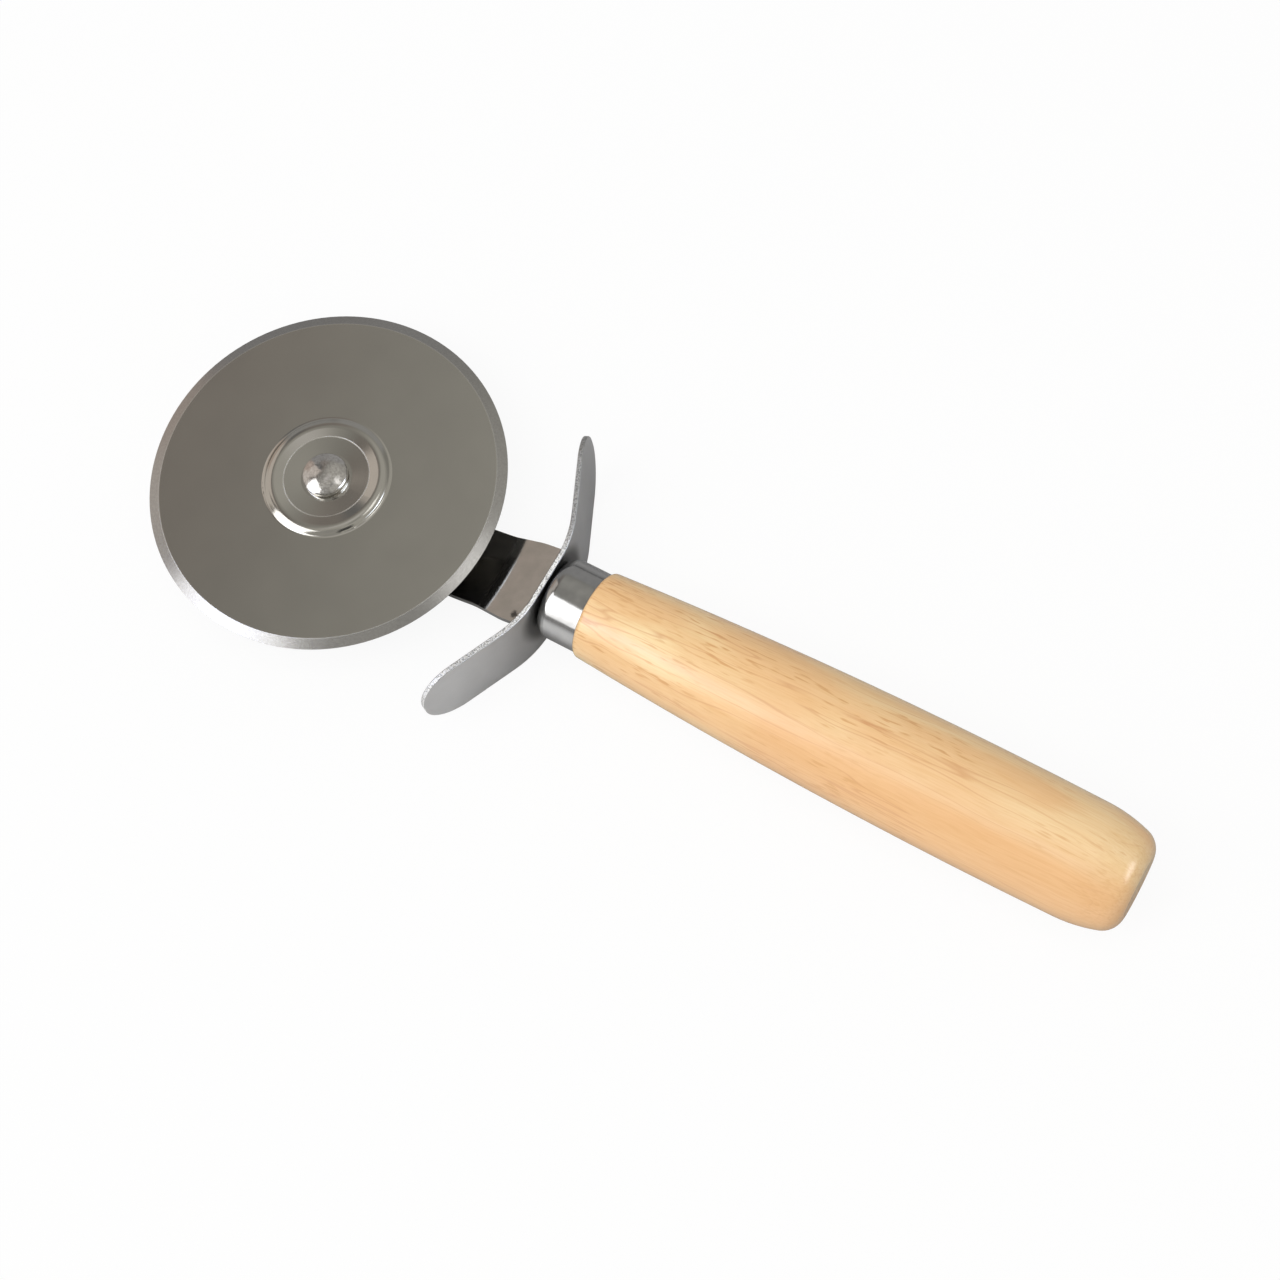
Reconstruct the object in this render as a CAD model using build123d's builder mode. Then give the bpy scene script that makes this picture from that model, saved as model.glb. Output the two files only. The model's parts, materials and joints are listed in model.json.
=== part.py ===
from build123d import *

import os
from math import radians, sqrt, tan

# A hand pizza cutter. A stamped steel wheel turns on a bush that is riveted to the end of a bent flat arm.
# The arm's tang passes through a finger guard and a chromed ferrule into a turned wooden handle.
# Lengths are in millimetres. The origin is the wheel's centre, in the plane of its cutting edge.
# +X runs along the handle towards the butt, and +Z points out of the rivet's domed head.
# The handle's axis lies a little below the wheel's plane.

# Cutting wheel
wheel_diameter = 70.0
wheel_thickness = 1.4
ground_width = 2.0
edge_land = 0.12
hub_flat_diameter = 10.0
hub_flat_height = 0.18
crease_diameter = 16.8
crease_height = 0.4
bead_peak_diameter = 22.3
bead_peak_height = 0.88
bead_peak_radius = 2.5
bead_foot_diameter = 24.8
bead_foot_radius = 1.2

# Axle
bush_spigot_diameter = 6.0
bush_flange_diameter = 9.6
washer_diameter = 13.0
washer_thickness = 0.5
rivet_diameter = 4.4
rivet_head_diameter = 8.8
rivet_head_height = 2.45
rivet_head_rim = 1.3
rivet_rim_radius = 0.4
rivet_underside_radius = 0.55
tail_head_diameter = 7.0
tail_head_height = 1.2
tail_washer_diameter = 9.0
tail_washer_thickness = 0.8

# Arm
arm_thickness = 1.6
arm_offset = 6.7
arm_rise_angle = 20.0
arm_bend_radius = 4.0
arm_width = 15.3
arm_shoulder_width = 16.8
arm_flare_length = 6.5
arm_shoulder_length = 5.9
arm_flare_radius = 18.0
tang_width = 8.0
tang_length = 66.0
tang_point_length = 5.0

# Finger guard
guard_station = 51.1
guard_thickness = 1.0
guard_flat_length = 8.4
guard_bend_radius = 22.8
guard_wing_angle = 25.0
guard_span = 61.4
guard_front_reach = 7.4
guard_back_reach = 10.0
guard_tip_radius = 7.9
guard_edge_radius = 0.2

# Ferrule
ferrule_diameter = 16.0
ferrule_length = 8.8
ferrule_wall = 0.5
ferrule_corner_radius = 2.5

# Handle
handle_drop = 0.7
handle_length = 110.2
handle_front_diameter = 17.2
handle_belly_diameter = 22.62
handle_heel_diameter = 22.2
butt_corner_diameter = 19.4
butt_face_diameter = 12.6
handle_front_rounding = 0.9
spigot_rounding = 2.2

# Clearances
running_clearance = 0.05
axial_play = 0.1
seat_clearance = 0.05
slot_clearance = 0.1
glue_clearance = 0.1

# Where the handle's turned profile swells and narrows, as shares of its length behind the ferrule
belly_station_share = 0.7
heel_station_share = 0.9
butt_corner_station_share = 0.974

# Levels along the axle, from the rivet's domed head down to its peened tail
wheel_face = wheel_thickness / 2
bush_top = wheel_face + hub_flat_height + axial_play
washer_top = hub_flat_height - wheel_face - axial_play
bush_shoulder = washer_top - washer_thickness
arm_front_face = -arm_offset
arm_back_face = arm_front_face - arm_thickness
tail_seat = arm_back_face - tail_washer_thickness
handle_level = -handle_drop
handle_axis = Axis((0, 0, handle_level), (1, 0, 0))
handle_plane = Plane.XY.offset(handle_level)

# Stations along the handle's axis
ferrule_front = guard_station
ferrule_rear = ferrule_front + ferrule_length
handle_rear = ferrule_rear + handle_length
guard_front_face = guard_station - guard_thickness
# The arm's shoulders meet the guard where it has begun to bend towards the wheel
guard_inner_radius = guard_bend_radius - guard_thickness
shoulder_reach = (arm_shoulder_width - guard_flat_length) / 2
guard_bow = guard_inner_radius - sqrt(guard_inner_radius**2 - shoulder_reach**2)
shoulder_station = guard_front_face - guard_bow - seat_clearance


def tang_plane(place):
    """The plane across the handle's axis at that station, centred on the tang."""
    return Plane(origin=(place, 0, handle_level), x_dir=(0, 1, 0), z_dir=(1, 0, 0))


def disc_section(inner_diameter, outer_diameter, low, high):
    """The half section of a flat ring round the axle, as a closed outline from the axle outwards."""
    inner = inner_diameter / 2
    outer = outer_diameter / 2
    return [(inner, low), (outer, low), (outer, high), (inner, high)]


def hub_section(face):
    """The pressed hub's half section on one face of the wheel, from the bore out to the bead's outer foot."""
    return [
        (wheel_bore_radius, face + hub_flat_height),
        (hub_flat_diameter / 2, face + hub_flat_height),
        (crease_diameter / 2, face + crease_height),
        (bead_peak_diameter / 2, face + bead_peak_height),
        (bead_foot_diameter / 2, face),
    ]


def near_diameter(sketch, diameter):
    """The two corners of a half section, on its front and its back, that lie at that diameter."""
    return sketch.vertices().filter_by(lambda corner: abs(corner.X - diameter / 2) < seat_clearance)


# The wheel: sheet steel ground on both faces to a thin edge. Its centre is pressed forward: a flat seat
# for the rivet, a shallow funnel out to a sharp crease, and a bead that slopes down to the blade.
wheel_radius = wheel_diameter / 2
wheel_bore_radius = bush_spigot_diameter / 2 + running_clearance
with BuildPart() as blade_wheel:
    with BuildSketch(Plane.XZ) as wheel_section:
        with BuildLine():
            Polyline(
                *hub_section(wheel_face),
                (wheel_radius - ground_width, wheel_face),
                (wheel_radius, edge_land / 2),
                (wheel_radius, -edge_land / 2),
                (wheel_radius - ground_width, -wheel_face),
                *reversed(hub_section(-wheel_face)),
                close=True,
            )
        make_face()
        fillet(near_diameter(wheel_section, bead_peak_diameter), bead_peak_radius)
        fillet(near_diameter(wheel_section, bead_foot_diameter), bead_foot_radius)
    revolve(axis=Axis.Z)
blade_wheel.part.label = "blade_wheel"

# The washer that keeps the wheel's back off the bush
with BuildPart() as thrust_washer:
    with BuildSketch(Plane.XZ):
        with BuildLine():
            washer_bore = bush_spigot_diameter + 2 * running_clearance
            Polyline(*disc_section(washer_bore, washer_diameter, bush_shoulder, washer_top), close=True)
        make_face()
    revolve(axis=Axis.Z)
    fillet(thrust_washer.edges().group_by(SortBy.LENGTH)[-1], washer_thickness / 4)
thrust_washer.part.label = "thrust_washer"

# The bush: a spigot that the wheel turns on, and a wider sleeve that holds the wheel off the arm
bush_bore_radius = rivet_diameter / 2 + seat_clearance
with BuildPart() as axle_bush:
    with BuildSketch(Plane.XZ):
        with BuildLine():
            Polyline(
                (bush_bore_radius, arm_front_face),
                (bush_flange_diameter / 2, arm_front_face),
                (bush_flange_diameter / 2, bush_shoulder),
                (bush_spigot_diameter / 2, bush_shoulder),
                (bush_spigot_diameter / 2, bush_top),
                (bush_bore_radius, bush_top),
                close=True,
            )
        make_face()
    revolve(axis=Axis.Z)
axle_bush.part.label = "axle_bush"

# The rivet: a domed head over the bush, a shank, and a tail peened over its washer
head_radius = rivet_head_diameter / 2
tail_radius = tail_head_diameter / 2
shank_radius = rivet_diameter / 2
with BuildPart() as axle_rivet:
    with BuildSketch(Plane.XZ):
        with BuildLine():
            head_rim = bush_top + rivet_head_rim
            Polyline(
                (0, tail_seat - tail_head_height),
                (0, bush_top + rivet_head_height),
            )
            RadiusArc(
                (0, bush_top + rivet_head_height),
                (head_radius, head_rim),
                (head_radius**2 + (rivet_head_height - rivet_head_rim) ** 2)
                / (2 * (rivet_head_height - rivet_head_rim)),
            )
            Polyline(
                (head_radius, head_rim),
                (head_radius, bush_top),
                (shank_radius, bush_top),
                (shank_radius, tail_seat),
                (tail_radius, tail_seat),
            )
            RadiusArc(
                (tail_radius, tail_seat),
                (0, tail_seat - tail_head_height),
                (tail_radius**2 + tail_head_height**2) / (2 * tail_head_height),
            )
        make_face()
    revolve(axis=Axis.Z)
    head_edges = axle_rivet.edges().filter_by(GeomType.CIRCLE).filter_by(
        lambda edge: abs(edge.radius - head_radius) < seat_clearance
    )
    fillet(head_edges.sort_by(Axis.Z)[-1], rivet_rim_radius)
    fillet(head_edges.sort_by(Axis.Z)[0], rivet_underside_radius)
axle_rivet.part.label = "axle_rivet"

# The washer under the peened tail
with BuildPart() as tail_washer:
    with BuildSketch(Plane.XZ):
        with BuildLine():
            tail_bore = rivet_diameter + 2 * seat_clearance
            Polyline(*disc_section(tail_bore, tail_washer_diameter, tail_seat, arm_back_face), close=True)
        make_face()
    revolve(axis=Axis.Z)
    fillet(tail_washer.edges().group_by(SortBy.LENGTH)[-1], tail_washer_thickness / 4)
tail_washer.part.label = "tail_washer"

# The arm in side view: flat behind the wheel, then rising to the handle's axis, then straight as the tang
rise_end = shoulder_station
arm_middle = (arm_front_face + arm_back_face) / 2
rise_start = rise_end - (handle_level - arm_middle) / tan(radians(arm_rise_angle))
tang_end = guard_station + tang_length
arm_half_width = arm_width / 2
shoulder_half_width = arm_shoulder_width / 2
tang_half_width = tang_width / 2
with BuildPart() as arm:
    with BuildSketch(Plane.XZ):
        with BuildLine() as arm_path:
            FilletPolyline(
                (-arm_width, arm_middle),
                (rise_start, arm_middle),
                (rise_end, handle_level),
                (tang_end, handle_level),
                radius=arm_bend_radius,
            )
            offset(amount=arm_thickness / 2, side=Side.BOTH, kind=Kind.INTERSECTION)
        make_face()
    extrude(amount=arm_shoulder_width, both=True)
    # In plan: a round end at the rivet, a slow flare to the shoulders, and the narrow tang
    with BuildSketch(Plane.XY) as arm_plan:
        with BuildLine() as arm_outline:
            flare_end = shoulder_station - arm_shoulder_length
            FilletPolyline(
                (0, arm_half_width),
                (flare_end - arm_flare_length, arm_half_width),
                (flare_end, shoulder_half_width),
                (shoulder_station, shoulder_half_width),
                radius=arm_flare_radius,
            )
            Polyline(
                (shoulder_station, shoulder_half_width),
                (shoulder_station, tang_half_width),
                (tang_end - tang_point_length, tang_half_width),
                (tang_end, 0),
            )
            RadiusArc((0, arm_half_width), (-arm_half_width, 0), -arm_half_width)
            mirror(about=Plane.XZ)
        make_face()
        with Locations((0, 0)):
            Circle(rivet_diameter / 2 + seat_clearance, mode=Mode.SUBTRACT)
    extrude(amount=arm_shoulder_width, both=True, mode=Mode.INTERSECT)
arm.part.label = "arm"

# The finger guard: a strip bent to a shallow bow, with wings that lean towards the wheel and round tips
wing = radians(guard_wing_angle)
guard_half_span = guard_span / 2
bend_corner_y = guard_flat_length / 2 + guard_bend_radius * tan(wing / 2)
tip_station = guard_station - (guard_half_span - bend_corner_y) * tan(wing)
with BuildPart() as finger_guard:
    with BuildSketch(Plane.XY.offset(handle_level - guard_back_reach)):
        with BuildLine():
            FilletPolyline(
                (tip_station, -guard_half_span),
                (guard_station, -bend_corner_y),
                (guard_station, bend_corner_y),
                (tip_station, guard_half_span),
                radius=guard_bend_radius,
            )
            offset(amount=guard_thickness, side=Side.LEFT, kind=Kind.INTERSECTION)
        make_face()
    extrude(amount=guard_front_reach + guard_back_reach)
    tip_corners = finger_guard.edges().filter_by(GeomType.LINE).filter_by(
        lambda edge: abs(edge.length - guard_thickness) < seat_clearance
    )
    fillet(tip_corners, guard_tip_radius)
    long_edges = finger_guard.edges().filter_by(lambda edge: edge.length > guard_thickness * 2)
    fillet(long_edges, guard_edge_radius)
    # The slot that the tang passes through
    with BuildSketch(tang_plane(guard_station)):
        Rectangle(tang_width + 2 * slot_clearance, arm_thickness + 2 * slot_clearance)
    extrude(amount=guard_thickness * 2, both=True, mode=Mode.SUBTRACT)
finger_guard.part.label = "finger_guard"

# The ferrule: a drawn cup with a round front corner and a slot for the tang
ferrule_radius = ferrule_diameter / 2
with BuildPart() as ferrule:
    with BuildSketch(handle_plane):
        with BuildLine():
            Polyline(
                (ferrule_front, 0),
                (ferrule_front, ferrule_radius),
                (ferrule_rear, ferrule_radius),
                (ferrule_rear, 0),
                close=True,
            )
        make_face()
    revolve(axis=handle_axis)
    fillet(ferrule.edges().filter_by(GeomType.CIRCLE).sort_by(Axis.X)[0], ferrule_corner_radius)
    offset(amount=-ferrule_wall, openings=ferrule.faces().sort_by(Axis.X)[-1])
    with BuildSketch(tang_plane(ferrule_front)):
        Rectangle(tang_width + 2 * slot_clearance, arm_thickness + 2 * slot_clearance)
    extrude(amount=ferrule_wall * 2, both=True, mode=Mode.SUBTRACT)
ferrule.part.label = "ferrule"

# The handle: a spigot inside the ferrule, a long swell to the belly, and a flat butt with round corners
spigot_radius = ferrule_radius - ferrule_wall - glue_clearance / 2
spigot_front = ferrule_front + ferrule_wall + glue_clearance
front_radius = handle_front_diameter / 2
belly_radius = handle_belly_diameter / 2
heel_radius = handle_heel_diameter / 2
face_radius = butt_face_diameter / 2


def station(share):
    """The place along the handle at that share of its length behind the ferrule."""
    return ferrule_rear + handle_length * share


with BuildPart() as handle:
    with BuildSketch(handle_plane):
        with BuildLine():
            Polyline(
                (handle_rear, 0),
                (spigot_front, 0),
                (spigot_front, spigot_radius),
                (ferrule_rear, spigot_radius),
                (ferrule_rear, front_radius),
            )
            swell = ThreePointArc(
                (ferrule_rear, front_radius),
                (station(belly_station_share), belly_radius),
                (station(heel_station_share), heel_radius),
            )
            butt_corner = (station(butt_corner_station_share), butt_corner_diameter / 2)
            shoulder = TangentArc(swell @ 1, butt_corner, tangent=swell % 1)
            TangentArc(butt_corner, (handle_rear, face_radius), tangent=shoulder % 1)
            Line((handle_rear, face_radius), (handle_rear, 0))
        make_face()
    revolve(axis=handle_axis)
    spigot_edge = handle.edges().filter_by(GeomType.CIRCLE).sort_by(Axis.X)[0]
    fillet(spigot_edge, spigot_rounding)
    front_edge = handle.edges().filter_by(GeomType.CIRCLE).filter_by(
        lambda edge: abs(edge.radius - front_radius) < seat_clearance
    )
    fillet(front_edge, handle_front_rounding)
    # The blind slot that holds the tang
    slot_depth = tang_end + glue_clearance - spigot_front
    with BuildSketch(tang_plane(spigot_front)):
        Rectangle(tang_width + 2 * slot_clearance, arm_thickness + 2 * slot_clearance)
    extrude(amount=slot_depth, mode=Mode.SUBTRACT)
handle.part.label = "handle"

pieces = [
    blade_wheel,
    thrust_washer,
    axle_bush,
    axle_rivet,
    tail_washer,
    arm,
    finger_guard,
    ferrule,
    handle,
]
os.makedirs("parts", exist_ok=True)
for piece in pieces:
    export_step(piece.part, f"parts/{piece.part.label}.step")
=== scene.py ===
import json
from math import cos, pi, radians, sin

import bpy
from mathutils import Matrix, Vector


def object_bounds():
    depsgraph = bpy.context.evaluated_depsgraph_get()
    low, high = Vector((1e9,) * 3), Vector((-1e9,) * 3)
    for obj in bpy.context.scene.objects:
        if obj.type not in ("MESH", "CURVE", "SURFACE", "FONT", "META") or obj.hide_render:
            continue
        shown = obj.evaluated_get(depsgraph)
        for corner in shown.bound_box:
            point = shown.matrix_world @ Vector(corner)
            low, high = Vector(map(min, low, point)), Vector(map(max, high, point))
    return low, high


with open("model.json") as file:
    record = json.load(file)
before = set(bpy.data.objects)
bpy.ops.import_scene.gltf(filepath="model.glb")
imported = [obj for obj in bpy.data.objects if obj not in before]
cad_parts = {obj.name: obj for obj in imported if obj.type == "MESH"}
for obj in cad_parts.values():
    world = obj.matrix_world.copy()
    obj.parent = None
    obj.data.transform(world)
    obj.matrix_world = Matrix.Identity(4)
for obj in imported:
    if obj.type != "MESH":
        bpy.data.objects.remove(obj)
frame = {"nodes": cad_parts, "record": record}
cad_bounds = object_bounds()

# The picture's frame and the camera that sees the tool as the photograph does
FOCAL_LENGTH_MM = 69.6
SENSOR_MM = 36.0
NEAREST_SEEN = 0.01
CAMERA_PLACE = (0.19426, -0.11690, 0.42208)
CAMERA_RIGHT = (0.85912, 0.49859, -0.11542)
CAMERA_UP = (-0.43298, 0.82836, 0.35545)
CAMERA_BACK = (0.27283, -0.25540, 0.92754)

# The studio's lamps, in degrees and metres, that all face one point of the tool
AIM_POINT = (0.045, 0.0, 0.0)
LAMPS = [
    {
        "name": "key_panel",
        "azimuth": -131,
        "elevation": 41,
        "reach": 2.0,
        "width": 1.2,
        "height": 1.64,
        "turn": 8,
        "glow": 1.9,
        "mirrored": True,
    },
    {
        "name": "side_box",
        "azimuth": 36,
        "elevation": 72,
        "reach": 0.9,
        "width": 0.26,
        "height": 0.2,
        "turn": 0,
        "glow": 0.9,
        "mirrored": True,
    },
    {
        "name": "top_box",
        "azimuth": -90,
        "elevation": 75,
        "reach": 1.0,
        "width": 0.8,
        "height": 0.8,
        "turn": 0,
        "glow": 2.2,
        "mirrored": False,
    },
]
ROOM_LIGHT = (1.0, 0.985, 0.965, 1.0)
ROOM_LEVEL = 0.54

# What the metal mirrors: the room's grey by height, its slopes overhead, and cards in degrees
ROOM_GREYS = [(0.50, 0.12), (0.60, 0.14), (0.66, 0.26), (1.0, 0.28)]
ROOM_TINT_LEFT = (1.0, 0.90, 0.82, 1.0)
ROOM_TINT_RIGHT = (1.0, 0.97, 0.89, 1.0)
LEFT_STEP = [(0.40, 0), (0.46, 1)]
OVERHEAD_STEP = [(0.78, 0), (0.90, 1)]
OVERHEAD = {
    "level": 0.583,
    "along_x": 0.875,
    "along_y": 0.25,
    "near_y": 0.1,
    "far_y": 0.3,
    "low": 0.2,
    "high": 0.45,
}
CARDS = [
    {"azimuth": 168, "elevation": 19, "width": 22, "height": 24, "soft": 2, "shade": (0.50, 0.415, 0.36, 1)},
    {"azimuth": 172, "elevation": 43, "width": 30, "height": 28, "soft": 2, "shade": (0.63, 0.57, 0.52, 1)},
    {"azimuth": 152, "elevation": 42, "width": 9, "height": 22, "soft": 3, "shade": (0.15, 0.15, 0.15, 1)},
    {"azimuth": -168, "elevation": 24, "width": 30, "height": 34, "soft": 4, "shade": (0.62, 0.57, 0.52, 1)},
    {"azimuth": 0, "elevation": 27, "width": 90, "height": 22, "soft": 8, "shade": (0.55, 0.52, 0.48, 1)},
    {"azimuth": -84, "elevation": 62, "width": 44, "height": 26, "soft": 6, "shade": (0.33, 0.32, 0.30, 1)},
    {"azimuth": -46, "elevation": 52, "width": 26, "height": 20, "soft": 3, "shade": (0.05, 0.05, 0.05, 1)},
    {"azimuth": 150, "elevation": 83, "width": 110, "height": 12, "soft": 5, "shade": (0.56, 0.54, 0.52, 1)},
    {"azimuth": 108, "elevation": 17, "width": 44, "height": 38, "soft": 4, "shade": (0.33, 0.325, 0.32, 1)},
    {"azimuth": -108, "elevation": 5, "width": 44, "height": 14, "soft": 3, "shade": (0.36, 0.35, 0.34, 1)},
    {"azimuth": -119, "elevation": 29, "width": 26, "height": 34, "soft": 2, "shade": (1.9, 1.88, 1.86, 1)},
    {"azimuth": -20, "elevation": 79, "width": 60, "height": 10, "soft": 3, "shade": (0.30, 0.295, 0.28, 1)},
    {"azimuth": 144, "elevation": 14, "width": 28, "height": 34, "soft": 4, "shade": (0.30, 0.295, 0.29, 1)},
    {"azimuth": -129, "elevation": 43, "width": 22, "height": 18, "soft": 6, "shade": (1.9, 2.5, 4.7, 1)},
    {"azimuth": 12, "elevation": 31, "width": 36, "height": 24, "soft": 8, "shade": (5.4, 5.9, 6.8, 1)},
]

# The floor: its white, its own glow to the camera, and the painted shade and light across it that the metal
# mirrors
FLOOR_REACH = 3.0
FLOOR_WHITE = (0.82, 0.82, 0.82, 1.0)
FLOOR_GLOW_SHARE = 0.92
FLOOR_RAMP_SHIFT = 0.25
# Painted shade and light across y, as the metal mirrors the floor, with a dark band along the handle that
# paints its contact shadow
FLOOR_MIRRORED = [
    (0.05, 0.52),
    (0.17, 0.78),
    (0.211, 0.83),
    (0.224, 0.75),
    (0.232, 0.52),
    (0.239, 0.34),
    (0.26, 0.40),
    (0.35, 0.30),
    (0.55, 0.16),
]
WHITE = (1.0, 1.0, 1.0, 1.0)
MM_PER_METRE = 1000

# Places, ramps and raggedness on the tool, in millimetres
CREASE_RADIUS = 8.4
CREASE_HALF_WIDTH = 0.12
GROUND_RADIUS = 33.0
HANDLE_LEVEL = -0.7
GUARD_RAMP_SPAN = 100
# Where the painted shade round the ferrule fades out, from the handle's axis
PAINTED_SHADE_NEAR = 8.0
PAINTED_SHADE_FAR = 11.0
WOOD_RAMP_LENGTH = 200
BLUSH_RAMP_LENGTH = 100
BLUSH_RAMP_WIDTH = 10
ARM_SMUDGE = (46.2, -6.9, -0.9)
SMUDGE_RADIUS = 1.5
SMUDGE_SOFT = 0.4
SMUDGE_RAGGED = 1.6

# How far each mark covers the colour under it: painted highlight, smudge, painted shade and the wood's
# patches
BEVEL_HIGHLIGHT_SHARE = 0.25
SMUDGE_SHARE = 0.85
PAINTED_SHADE_SHARE = 0.82
PATCH_SHARE = 0.8

# How much of a face looks along the handle where the guard counts as sheared edge
SHEARED_FACING = 0.4
SHEARED_SOFT = 0.1

# How deep the relief of each surface is, in metres
POLISH_LINE_DEPTH = 0.00002
PRESS_DENT_DEPTH = 0.0003
TUMBLED_PIT_DEPTH = 0.0001
PLATE_WAVE_DEPTH = 0.0002
WOOD_GRAIN_DEPTH = 0.00005

# The metals' colours, from the darker patches to the lighter ones
BLADE_FACE = ((0.60, 0.585, 0.545, 1), (0.64, 0.625, 0.58, 1))
BLADE_GROUND = ((0.47, 0.46, 0.45, 1), (0.55, 0.545, 0.53, 1))
# The painted highlight on the blade's crease and on the ground edge's inner border
BLADE_EDGE_HIGHLIGHT = (0.92, 0.91, 0.88, 1)
ARM_POLISH = ((0.42, 0.415, 0.39, 1), (0.495, 0.48, 0.455, 1))
ARM_DIRT = (0.06, 0.055, 0.05, 1)
AXLE_POLISH = ((0.58, 0.56, 0.54, 1), (0.78, 0.765, 0.745, 1))
GUARD_FACE = ((0.655, 0.655, 0.655, 1), (0.705, 0.705, 0.705, 1))
# The guard's sheared edges: bright cut steel, with white for their painted glints
GUARD_SHEARED_AND_GLINT = ((0.45, 0.45, 0.44, 1), (0.95, 0.95, 0.94, 1))
# The painted shade round the ferrule
GUARD_PAINTED_SHADE = (0.10, 0.10, 0.10, 1)
FERRULE_PLATE = ((0.50, 0.50, 0.50, 1), (0.55, 0.55, 0.545, 1))

# How many turning lines the blade has to a millimetre
TURNING_LINES = 5.0

# Where a noise turns from its low shade to its high one
CLOUD_RANGE = (0.3, 0.7)
FINE_RANGE = (0.35, 0.65)

# The wood's colours
WOOD_FIGURE = [
    (0.25, (0.86, 0.595, 0.305, 1)),
    (0.45, (0.92, 0.70, 0.385, 1)),
    (0.7, (0.945, 0.755, 0.45, 1)),
]
WOOD_BLUSH = (0.81, 0.465, 0.22, 1)
WOOD_PATCH = (0.85, 0.53, 0.26, 1)
WOOD_FIBRE = (0.95, 0.91, 0.86, 1)
WOOD_VESSEL = (0.70, 0.38, 0.16, 1)
WOOD_LINE = (0.66, 0.33, 0.15, 1)

# How the wood and its lacquer shine
WOOD_ROUGHNESS = 0.45
WOOD_SPECULAR = 0.1
LACQUER_WEIGHT = 1.0
LACQUER_ROUGHNESS = 0.2


def add_node(tree, kind, settings=None, values=None):
    """A new node of that kind, with its settings and the values of its sockets."""
    made = tree.nodes.new(kind)
    for key, value in (settings or {}).items():
        setattr(made, key, value)
    for key, value in (values or {}).items():
        made.inputs[key].default_value = value
    return made


def join(tree, source, target):
    """A link from an output socket to an input socket."""
    tree.links.new(source, target)


def feed(tree, operand, target):
    """The operand goes into the socket: a link from a socket, or a number or colour as its value."""
    if isinstance(operand, (int, float, tuple)):
        target.default_value = operand
    else:
        join(tree, operand, target)


def calc(tree, operation, first, second=None):
    """A Math node: each operand is a socket or a number."""
    made = add_node(tree, "ShaderNodeMath", {"operation": operation})
    feed(tree, first, made.inputs[0])
    if second is not None:
        feed(tree, second, made.inputs[1])
    return made.outputs[0]


def plus(tree, first, second):
    """The sum of two sockets or numbers."""
    return calc(tree, "ADD", first, second)


def times(tree, first, second):
    """The product of two sockets or numbers."""
    return calc(tree, "MULTIPLY", first, second)


def distance(tree, first, second):
    """How far two sockets or numbers are apart."""
    return calc(tree, "ABSOLUTE", calc(tree, "SUBTRACT", first, second))


def held_between(tree, value, low, high):
    """The value, kept from going under the low limit or over the high one."""
    return calc(tree, "MINIMUM", calc(tree, "MAXIMUM", value, low), high)


def blend_colours(tree, factor, first, second, mode="MIX"):
    """A Mix node for colours: each colour is a socket or four numbers."""
    made = add_node(tree, "ShaderNodeMix", {"data_type": "RGBA", "blend_type": mode})
    colour_sockets = [socket for socket in made.inputs if socket.type == "RGBA"]
    feed(tree, factor, made.inputs["Factor"])
    feed(tree, first, colour_sockets[0])
    feed(tree, second, colour_sockets[1])
    return next(socket for socket in made.outputs if socket.type == "RGBA")


def darken(tree, colour, shade):
    """The colour multiplied by a shade."""
    return blend_colours(tree, 1.0, colour, shade, "MULTIPLY")


def steps(tree, source, stops):
    """A colour ramp: stops are (place, grey or colour)."""
    ramp = add_node(tree, "ShaderNodeValToRGB")
    marks = ramp.color_ramp.elements
    while len(marks) < len(stops):
        marks.new(0.5)
    for mark, (place, shade) in zip(marks, stops):
        mark.position = place
        mark.color = shade if isinstance(shade, tuple) else (shade, shade, shade, 1.0)
    join(tree, source, ramp.inputs[0])
    return ramp.outputs[0]


def mottled(tree, source, colours, span):
    """From the first colour where the source is low to the second where it is high."""
    return steps(tree, source, list(zip(span, colours)))


def moved(tree, place, scale, offset=(0, 0, 0)):
    """The place scaled along each axis, then moved."""
    values = {"Scale": scale, "Location": offset}
    made = add_node(tree, "ShaderNodeMapping", values=values)
    join(tree, place, made.inputs["Vector"])
    return made.outputs[0]


def noise(tree, place, detail, roughness=0.5):
    """The grey output of a Noise node whose grains are one unit of the place."""
    values = {"Scale": 1.0, "Detail": detail, "Roughness": roughness}
    made = add_node(tree, "ShaderNodeTexNoise", values=values)
    join(tree, place, made.inputs["Vector"])
    return made.outputs[0]


def grains(tree, place, fineness, detail, roughness=0.5, offset=(0, 0, 0)):
    """Noise with that many grains to a millimetre, along all the axes or along each of them."""
    scale = fineness if isinstance(fineness, tuple) else (fineness, fineness, fineness)
    return noise(tree, moved(tree, place, scale, offset), detail, roughness)


def bump(tree, height, strength, depth):
    """A Bump node's normal."""
    made = add_node(tree, "ShaderNodeBump", values={"Strength": strength, "Distance": depth})
    join(tree, height, made.inputs["Height"])
    return made.outputs[0]


def vector_with(tree, operation, vector, fixed):
    """A Vector Math node that works on a vector and three fixed numbers."""
    made = add_node(tree, "ShaderNodeVectorMath", {"operation": operation})
    made.inputs[1].default_value = fixed
    join(tree, vector, made.inputs[0])
    return made


def dot_with(tree, direction, axis):
    """The dot product of a direction and a fixed axis."""
    return vector_with(tree, "DOT_PRODUCT", direction, axis).outputs["Value"]


def axes_of(tree, vector):
    """The x, y and z of a vector, as three sockets."""
    split = add_node(tree, "ShaderNodeSeparateXYZ")
    join(tree, vector, split.inputs[0])
    return split.outputs


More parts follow.
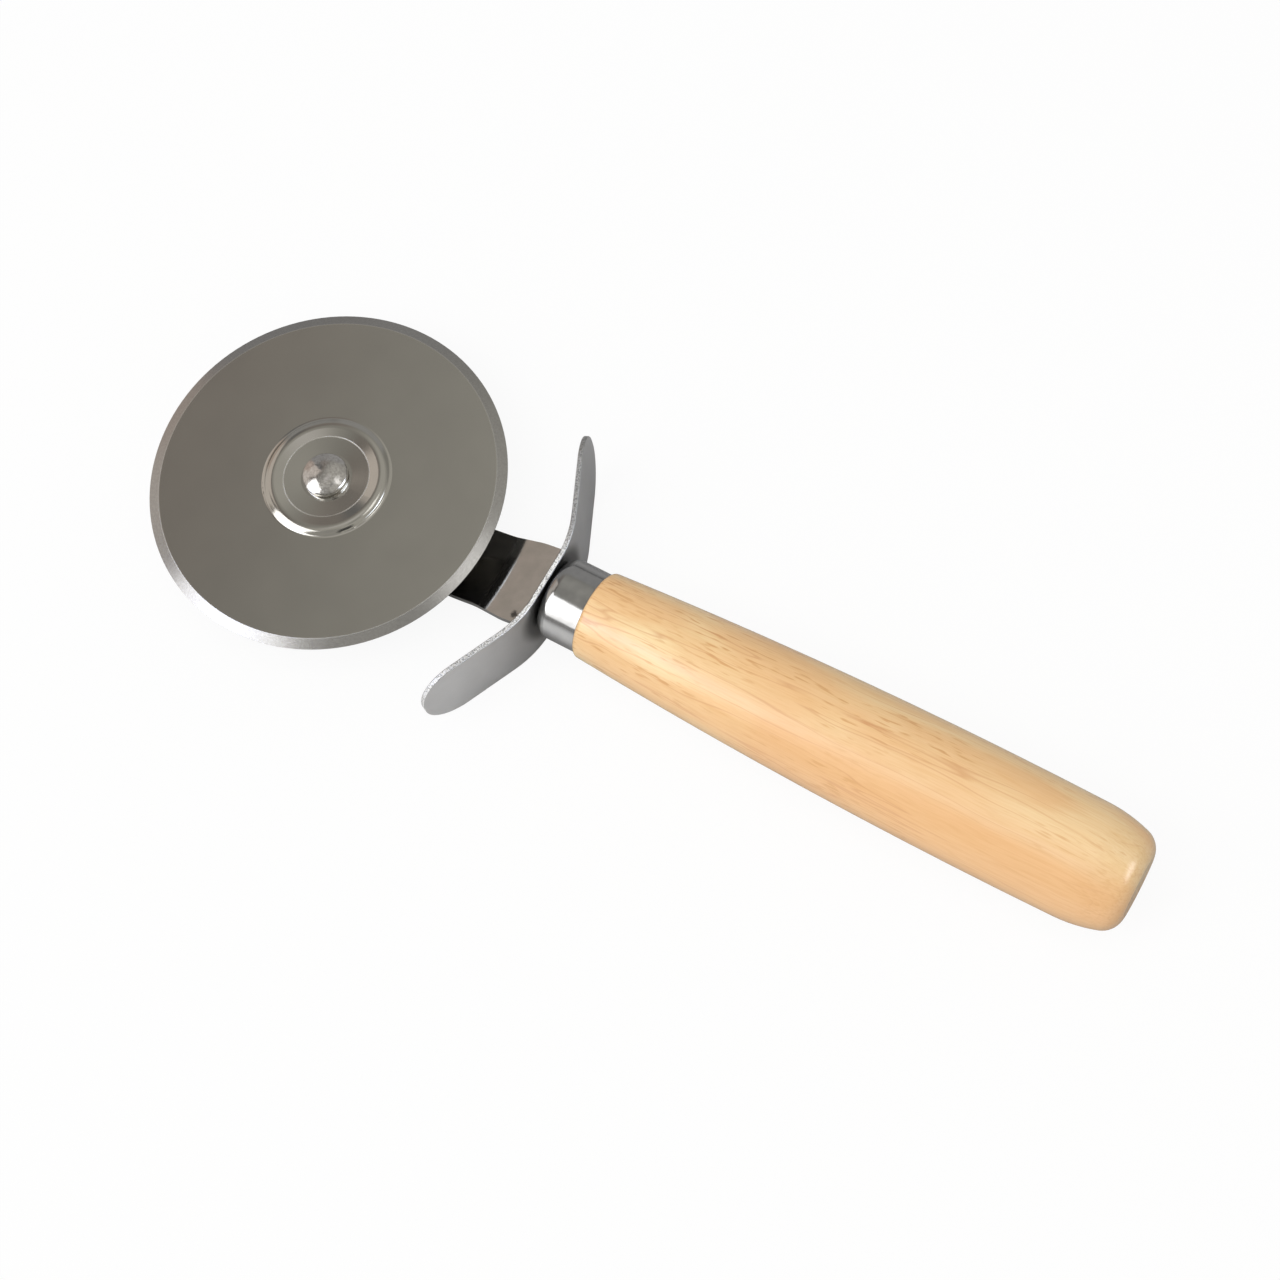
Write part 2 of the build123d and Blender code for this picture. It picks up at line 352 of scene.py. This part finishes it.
def radius_of(tree, place):
    """The distance from the axle, in millimetres."""
    flat = vector_with(tree, "MULTIPLY", place, (1, 1, 0))
    length = add_node(tree, "ShaderNodeVectorMath", {"operation": "LENGTH"})
    join(tree, flat.outputs[0], length.inputs[0])
    return length.outputs["Value"]


def soft_range(tree, value, low, high, at_low, at_high):
    """A smooth step from one number at the low value to another at the high value."""
    values = {"From Min": low, "From Max": high, "To Min": at_low, "To Max": at_high}
    made = add_node(tree, "ShaderNodeMapRange", {"interpolation_type": "SMOOTHSTEP"}, values)
    join(tree, value, made.inputs["Value"])
    return made.outputs[0]


def soft_below(tree, value, limit, soft):
    """One where the value is under the limit, zero above it, with a smooth step between."""
    return soft_range(tree, value, limit - soft, limit + soft, 1.0, 0.0)


def start_material(name, metallic=1.0):
    """A node material, its tree, its shader and the place in millimetres on the object."""
    material = bpy.data.materials.new(name)
    material.use_nodes = True
    tree = material.node_tree
    shader = tree.nodes["Principled BSDF"]
    shader.inputs["Metallic"].default_value = metallic
    coordinates = add_node(tree, "ShaderNodeTexCoord")
    place = moved(tree, coordinates.outputs["Object"], (MM_PER_METRE, MM_PER_METRE, MM_PER_METRE))
    return material, tree, shader, place


def blade_steel():
    """Polished stainless steel with faint turning lines and a ground edge, and painted highlights along the
    crease and the ground edge's inner border.
    """
    material, tree, shader, place = start_material("blade_steel")
    radius = radius_of(tree, place)
    rings = add_node(tree, "ShaderNodeCombineXYZ")
    join(tree, times(tree, radius, TURNING_LINES), rings.inputs[0])
    lines = noise(tree, rings.outputs[0], detail=3.0, roughness=0.7)
    cloud = grains(tree, place, 0.08, detail=3.0)
    speck = grains(tree, place, 6, detail=2.0)
    scuff = grains(tree, place, 2.5, detail=4.0, roughness=0.7)
    crease_highlight_fade = grains(tree, place, 0.12, detail=2.0, offset=(3.1, 0, 0))
    line_soft = CREASE_HALF_WIDTH / 2
    # Painted highlights: a paler, rougher line on the crease and on the ground edge's inner border, faded
    # unevenly round the crease
    crease = soft_below(tree, distance(tree, radius, CREASE_RADIUS), CREASE_HALF_WIDTH, line_soft)
    crease = times(tree, crease, steps(tree, crease_highlight_fade, [(0.35, 0.35), (0.6, 1)]))
    bevel_border_highlight = soft_below(tree, distance(tree, radius, GROUND_RADIUS), CREASE_HALF_WIDTH, line_soft)
    edge_highlight = calc(tree, "MAXIMUM", crease, times(tree, bevel_border_highlight, BEVEL_HIGHLIGHT_SHARE))
    ground = calc(tree, "GREATER_THAN", radius, GROUND_RADIUS)
    face_colour = mottled(tree, cloud, BLADE_FACE, CLOUD_RANGE)
    ground_colour = mottled(tree, scuff, BLADE_GROUND, FINE_RANGE)
    colour = blend_colours(tree, ground, face_colour, ground_colour)
    colour = blend_colours(tree, edge_highlight, colour, BLADE_EDGE_HIGHLIGHT)
    join(tree, colour, shader.inputs["Base Color"])
    polish = plus(tree, times(tree, lines, 0.06), times(tree, speck, 0.05))
    rough = plus(tree, polish, plus(tree, times(tree, ground, 0.10), 0.07))
    rough = plus(tree, rough, times(tree, edge_highlight, 0.4))
    join(tree, rough, shader.inputs["Roughness"])
    join(tree, bump(tree, lines, 0.15, POLISH_LINE_DEPTH), shader.inputs["Normal"])
    return material


def arm_steel():
    """Mirror-polished strip with faint rolling lines along the arm and a dark smudge by the guard."""
    material, tree, shader, place = start_material("arm_steel", metallic=0.99)
    along = grains(tree, place, (0.1, 4, 4), detail=3.0, roughness=0.6)
    cloud = grains(tree, place, 0.3, detail=3.0)
    fine = grains(tree, place, 2.5, detail=4.0)
    reach = vector_with(tree, "DISTANCE", place, ARM_SMUDGE).outputs["Value"]
    ragged = plus(tree, reach, times(tree, fine, SMUDGE_RAGGED))
    smudge = soft_below(tree, ragged, SMUDGE_RADIUS, SMUDGE_SOFT)
    colour = mottled(tree, cloud, ARM_POLISH, CLOUD_RANGE)
    colour = blend_colours(tree, times(tree, smudge, SMUDGE_SHARE), colour, ARM_DIRT)
    join(tree, colour, shader.inputs["Base Color"])
    rough = plus(tree, times(tree, along, 0.1), 0.05)
    rough = plus(tree, rough, times(tree, smudge, 0.3))
    join(tree, rough, shader.inputs["Roughness"])
    join(tree, bump(tree, along, 0.1, POLISH_LINE_DEPTH), shader.inputs["Normal"])
    return material


def axle_steel():
    """Polished steel of the rivet, bush and washers, scuffed and slightly dimpled by the press."""
    material, tree, shader, place = start_material("axle_steel")
    dents = grains(tree, place, 0.7, detail=1.0)
    fine = grains(tree, place, 2.2, detail=4.0, roughness=0.6)
    join(tree, mottled(tree, fine, AXLE_POLISH, FINE_RANGE), shader.inputs["Base Color"])
    join(tree, plus(tree, times(tree, fine, 0.16), 0.08), shader.inputs["Roughness"])
    join(tree, bump(tree, dents, 0.14, PRESS_DENT_DEPTH), shader.inputs["Normal"])
    return material


def guard_steel():
    """Tumbled matte steel with bright sheared edges that carry painted glints, painted shade round the
    ferrule, and painted shade towards the tip of the wing on the -y side.
    """
    material, tree, shader, place = start_material("guard_steel")
    grit = grains(tree, place, 5, detail=4.0, roughness=0.65)
    cloud = grains(tree, place, 0.15, detail=3.0)
    fleck = grains(tree, place, 3, detail=3.0, roughness=0.7)
    facing = add_node(tree, "ShaderNodeNewGeometry")
    frontal = calc(tree, "ABSOLUTE", dot_with(tree, facing.outputs["Normal"], (1, 0, 0)))
    sheared = soft_below(tree, frontal, SHEARED_FACING, SHEARED_SOFT)
    _, across, up = axes_of(tree, place)
    sideways = plus(tree, times(tree, across, 1 / GUARD_RAMP_SPAN), 0.5)
    level = calc(tree, "SUBTRACT", up, HANDLE_LEVEL)
    from_axis = calc(tree, "SQRT", plus(tree, times(tree, across, across), times(tree, level, level)))
    # Painted shade: the guard goes near black round the ferrule, where shade falls
    painted_shade = soft_range(tree, from_axis, PAINTED_SHADE_NEAR, PAINTED_SHADE_FAR, PAINTED_SHADE_SHARE, 0.0)
    colour = mottled(tree, cloud, GUARD_FACE, CLOUD_RANGE)
    # Painted shade: the wing on the -y side darker towards its tip
    colour = darken(tree, colour, steps(tree, sideways, [(0.20, 0.70), (0.40, 1.0)]))
    colour = blend_colours(tree, painted_shade, colour, GUARD_PAINTED_SHADE)
    # The sheared edges: pale flecks, partly bright cut steel and partly painted glints, dimmed on the +y
    # wing
    bright = mottled(tree, fleck, GUARD_SHEARED_AND_GLINT, (0.40, 0.55))
    sheared_glint = darken(tree, bright, steps(tree, sideways, [(0.56, 1.0), (0.62, 0.7)]))
    join(tree, blend_colours(tree, sheared, colour, sheared_glint), shader.inputs["Base Color"])
    rough = plus(tree, times(tree, grit, 0.16), 0.32)
    rough = plus(tree, rough, times(tree, sheared, 0.15))
    join(tree, rough, shader.inputs["Roughness"])
    # Painted glints: in these zones along y the brightest sheared flecks lose their metal and show white
    glint_zone_stops = [(0.17, 1), (0.25, 0.25), (0.37, 0.35), (0.42, 1), (0.54, 1), (0.60, 0.1)]
    glint_zone = times(tree, sheared, steps(tree, sideways, glint_zone_stops))
    glint_flecks = times(tree, glint_zone, steps(tree, fleck, [(0.40, 0), (0.49, 0.9)]))
    join(tree, calc(tree, "SUBTRACT", 1.0, glint_flecks), shader.inputs["Metallic"])
    torn = times(tree, times(tree, fleck, sheared), 2.5)
    join(tree, bump(tree, plus(tree, grit, torn), 0.35, TUMBLED_PIT_DEPTH), shader.inputs["Normal"])
    return material


def ferrule_chrome():
    """Mirror plating over a drawn cup, with a slight waviness."""
    material, tree, shader, place = start_material("ferrule_chrome")
    wave = grains(tree, place, 0.3, detail=1.0)
    smudge = grains(tree, place, 0.6, detail=4.0)
    join(tree, mottled(tree, smudge, FERRULE_PLATE, CLOUD_RANGE), shader.inputs["Base Color"])
    join(tree, plus(tree, times(tree, smudge, 0.14), 0.06), shader.inputs["Roughness"])
    join(tree, bump(tree, wave, 0.25, PLATE_WAVE_DEPTH), shader.inputs["Normal"])
    return material


def warped(tree, place):
    """The place with a slow sideways drift, so that the grain isn't quite straight."""
    drift = add_node(tree, "ShaderNodeTexNoise", values={"Scale": 0.03, "Detail": 2.0})
    join(tree, place, drift.inputs["Vector"])
    shift = vector_with(tree, "MULTIPLY_ADD", drift.outputs["Color"], (0, 2.5, 2.5))
    join(tree, place, shift.inputs[2])
    return shift.outputs[0]


def handle_wood():
    """Pale honey wood under clear lacquer: soft figure, fine fibres, dark vessels and long lines."""
    material, tree, shader, place = start_material("handle_wood", metallic=0.0)
    bent = warped(tree, place)
    figure = grains(tree, bent, (0.02, 0.3, 0.3), detail=3.0)
    fibre = grains(tree, bent, (0.12, 3.2, 3.2), detail=2.0)
    vessel = grains(tree, bent, (0.22, 1.9, 1.9), detail=1.0)
    vessel_zone = grains(tree, place, (0.04, 0.12, 0.12), detail=1.0)
    line_field = grains(tree, bent, (0.008, 0.35, 0.35), detail=1.0)
    patch = grains(tree, bent, (0.035, 0.09, 0.09), detail=2.0)
    lengthwise, across, _ = axes_of(tree, place)
    # The lower side blushes pinker, the wood's own tone; the blush's rise from about 85 to 100 mm towards
    # the butt is painted shade where the lacquer highlight ends
    blush = steps(tree, times(tree, across, -1 / BLUSH_RAMP_WIDTH), [(0.1, 0.3), (0.6, 0.85)])
    to_butt = steps(tree, times(tree, lengthwise, 1 / BLUSH_RAMP_LENGTH), [(0.85, 0.2), (1.0, 1)])
    colour = steps(tree, figure, WOOD_FIGURE)
    colour = blend_colours(tree, times(tree, blush, to_butt), colour, WOOD_BLUSH)
    patches = times(tree, steps(tree, patch, [(0.42, 0), (0.60, 1)]), PATCH_SHARE)
    colour = blend_colours(tree, patches, colour, WOOD_PATCH)
    colour = darken(tree, colour, mottled(tree, fibre, (WOOD_FIBRE, WHITE), (0.3, 0.6)))
    fewer = steps(tree, times(tree, lengthwise, 1 / WOOD_RAMP_LENGTH), [(0.72, 1), (0.80, 0.4)])
    dash = steps(tree, vessel, [(0.58, 0), (0.70, 1)])
    zone = steps(tree, vessel_zone, [(0.38, 0.15), (0.62, 1)])
    colour = blend_colours(tree, times(tree, times(tree, dash, zone), fewer), colour, WOOD_VESSEL)
    line = steps(tree, distance(tree, line_field, 0.5), [(0.0, 0.6), (0.016, 0)])
    colour = blend_colours(tree, times(tree, line, fewer), colour, WOOD_LINE)
    join(tree, colour, shader.inputs["Base Color"])
    shader.inputs["Roughness"].default_value = WOOD_ROUGHNESS
    shader.inputs["Coat Weight"].default_value = LACQUER_WEIGHT
    shader.inputs["Coat Roughness"].default_value = LACQUER_ROUGHNESS
    shader.inputs["Specular IOR Level"].default_value = WOOD_SPECULAR
    relief = plus(tree, fibre, times(tree, figure, 5.0))
    uneven = bump(tree, relief, 0.15, WOOD_GRAIN_DEPTH)
    join(tree, uneven, shader.inputs["Normal"])
    join(tree, uneven, shader.inputs["Coat Normal"])
    return material


MATERIALS = {
    "blade_steel": blade_steel,
    "axle_steel": axle_steel,
    "arm_steel": arm_steel,
    "guard_steel": guard_steel,
    "ferrule_chrome": ferrule_chrome,
    "handle_wood": handle_wood,
}


def dress():
    """Each node of the frame gets the material of its slot."""
    made = {name: make() for name, make in MATERIALS.items()}
    for part in frame["record"]["subparts"]:
        thing = frame["nodes"][part["node"]]
        thing.data.materials.clear()
        thing.data.materials.append(made[part["material_slot"]])


def place_camera():
    """The camera stands where the photograph was taken from."""
    camera = bpy.data.cameras.new("camera")
    camera.lens = FOCAL_LENGTH_MM
    camera.sensor_width = SENSOR_MM
    camera.clip_start = NEAREST_SEEN
    thing = bpy.data.objects.new("camera", camera)
    turn = Matrix((CAMERA_RIGHT, CAMERA_UP, CAMERA_BACK)).transposed()
    thing.matrix_world = Matrix.Translation(CAMERA_PLACE) @ turn.to_4x4()
    bpy.context.collection.objects.link(thing)
    bpy.context.scene.camera = thing


def softbox(name, azimuth, elevation, reach, width, height, turn, glow, mirrored):
    """A rectangular light that faces the tool from that direction, and whether the metal mirrors it."""
    lamp = bpy.data.lights.new(name, "AREA")
    lamp.shape = "RECTANGLE"
    lamp.size = width
    lamp.size_y = height
    lamp.energy = glow * pi * width * height
    thing = bpy.data.objects.new(name, lamp)
    level = radians(elevation)
    heading = radians(azimuth)
    away = Vector((cos(level) * cos(heading), cos(level) * sin(heading), sin(level)))
    stand = Matrix.Translation(Vector(AIM_POINT) + away * reach)
    aim = (-away).to_track_quat("-Z", "Y").to_matrix().to_4x4()
    thing.matrix_world = stand @ aim @ Matrix.Rotation(radians(turn), 4, "Z")
    thing.visible_camera = False
    thing.visible_glossy = mirrored
    bpy.context.collection.objects.link(thing)


def card_mask(tree, direction, azimuth, elevation, width, height, soft):
    """A soft-edged card on the sky, with its centre and its spans of azimuth and elevation in degrees."""
    heading = radians(azimuth)
    ahead = dot_with(tree, direction, (cos(heading), sin(heading), 0.0))
    aside = dot_with(tree, direction, (-sin(heading), cos(heading), 0.0))
    turned = calc(tree, "ABSOLUTE", calc(tree, "ARCTAN2", aside, ahead))
    level = calc(tree, "ARCSINE", dot_with(tree, direction, (0.0, 0.0, 1.0)))
    raised = distance(tree, level, radians(elevation))
    in_width = soft_below(tree, turned, radians(width / 2), radians(soft))
    in_height = soft_below(tree, raised, radians(height / 2), radians(soft))
    return times(tree, in_width, in_height)


def overhead_shade(tree, along_x, along_y):
    """The grey of the room overhead: it slopes along x and, over a short stretch, along y."""
    aside = held_between(tree, along_y, OVERHEAD["near_y"], OVERHEAD["far_y"])
    slope_x = times(tree, along_x, OVERHEAD["along_x"])
    slope_y = times(tree, aside, OVERHEAD["along_y"])
    slope = plus(tree, plus(tree, slope_x, slope_y), OVERHEAD["level"])
    return held_between(tree, slope, OVERHEAD["low"], OVERHEAD["high"])


def room_shade(tree, direction):
    """The room's colour as the metal mirrors it: greys by height, a slope overhead and the cards."""
    along_x, along_y, along_z = axes_of(tree, direction)
    height = plus(tree, times(tree, along_z, 0.5), 0.5)
    walls = steps(tree, height, ROOM_GREYS)
    overhead = overhead_shade(tree, along_x, along_y)
    shade = blend_colours(tree, steps(tree, height, OVERHEAD_STEP), walls, overhead)
    leftward = steps(tree, times(tree, along_x, -1.0), LEFT_STEP)
    shade = darken(tree, shade, blend_colours(tree, leftward, ROOM_TINT_RIGHT, ROOM_TINT_LEFT))
    for card in CARDS:
        form = {key: value for key, value in card.items() if key != "shade"}
        shade = blend_colours(tree, card_mask(tree, direction, **form), shade, card["shade"])
    return shade


def mix_shaders(tree, factor, first, second):
    """A Mix Shader node's output: the first where the factor is zero, the second where it is one."""
    mix = add_node(tree, "ShaderNodeMixShader")
    for socket, source in zip(mix.inputs, (factor, first, second)):
        join(tree, source, socket)
    return mix.outputs[0]


def light_world():
    """The room: white to the camera, the cards and greys to the metal, an even pale light for the rest."""
    world = bpy.data.worlds.new("room")
    bpy.context.scene.world = world
    world.use_nodes = True
    tree = world.node_tree
    tree.nodes.clear()
    coordinates = add_node(tree, "ShaderNodeTexCoord")
    path = add_node(tree, "ShaderNodeLightPath")
    soft = add_node(tree, "ShaderNodeBackground", values={"Color": ROOM_LIGHT, "Strength": ROOM_LEVEL})
    seen = add_node(tree, "ShaderNodeBackground", values={"Color": WHITE, "Strength": 1.0})
    mirrored = add_node(tree, "ShaderNodeBackground", values={"Strength": 1.0})
    join(tree, room_shade(tree, coordinates.outputs["Generated"]), mirrored.inputs["Color"])
    lit = mix_shaders(tree, path.outputs["Is Glossy Ray"], soft.outputs[0], mirrored.outputs[0])
    whole = mix_shaders(tree, path.outputs["Is Camera Ray"], lit, seen.outputs[0])
    output = add_node(tree, "ShaderNodeOutputWorld")
    join(tree, whole, output.inputs[0])


def floor_material():
    """Matte white with a glow to the camera, and painted shade and light across the floor for what the metal
    mirrors.
    """
    material = bpy.data.materials.new("floor_white")
    material.use_nodes = True
    tree = material.node_tree
    tree.nodes.clear()
    path = add_node(tree, "ShaderNodeLightPath")
    spot = add_node(tree, "ShaderNodeNewGeometry")
    across = plus(tree, dot_with(tree, spot.outputs["Position"], (0, 1, 0)), FLOOR_RAMP_SHIFT)
    # Painted shade and light on the floor, seen only by mirrored rays
    greys = steps(tree, across, FLOOR_MIRRORED)
    matte = add_node(tree, "ShaderNodeBsdfDiffuse")
    shade = blend_colours(tree, path.outputs["Is Glossy Ray"], FLOOR_WHITE, greys)
    join(tree, shade, matte.inputs["Color"])
    bright = add_node(tree, "ShaderNodeEmission", values={"Color": WHITE, "Strength": 1.0})
    share = times(tree, path.outputs["Is Camera Ray"], FLOOR_GLOW_SHARE)
    output = add_node(tree, "ShaderNodeOutputMaterial")
    join(tree, mix_shaders(tree, share, matte.outputs[0], bright.outputs[0]), output.inputs[0])
    return material


def lay_floor():
    """A plain white floor that the tool lies on, with a faint shadow."""
    level = cad_bounds[0][2]
    corners = [(x, y, level) for x, y in ((-1, -1), (1, -1), (1, 1), (-1, 1))]
    mesh = bpy.data.meshes.new("floor")
    mesh.from_pydata([(x * FLOOR_REACH, y * FLOOR_REACH, z) for x, y, z in corners], [], [(0, 1, 2, 3)])
    mesh.materials.append(floor_material())
    thing = bpy.data.objects.new("floor", mesh)
    bpy.context.collection.objects.link(thing)


place_camera()
dress()
light_world()
for lamp_form in LAMPS:
    softbox(**lamp_form)
lay_floor()
bpy.context.scene.view_settings.view_transform = "Standard"
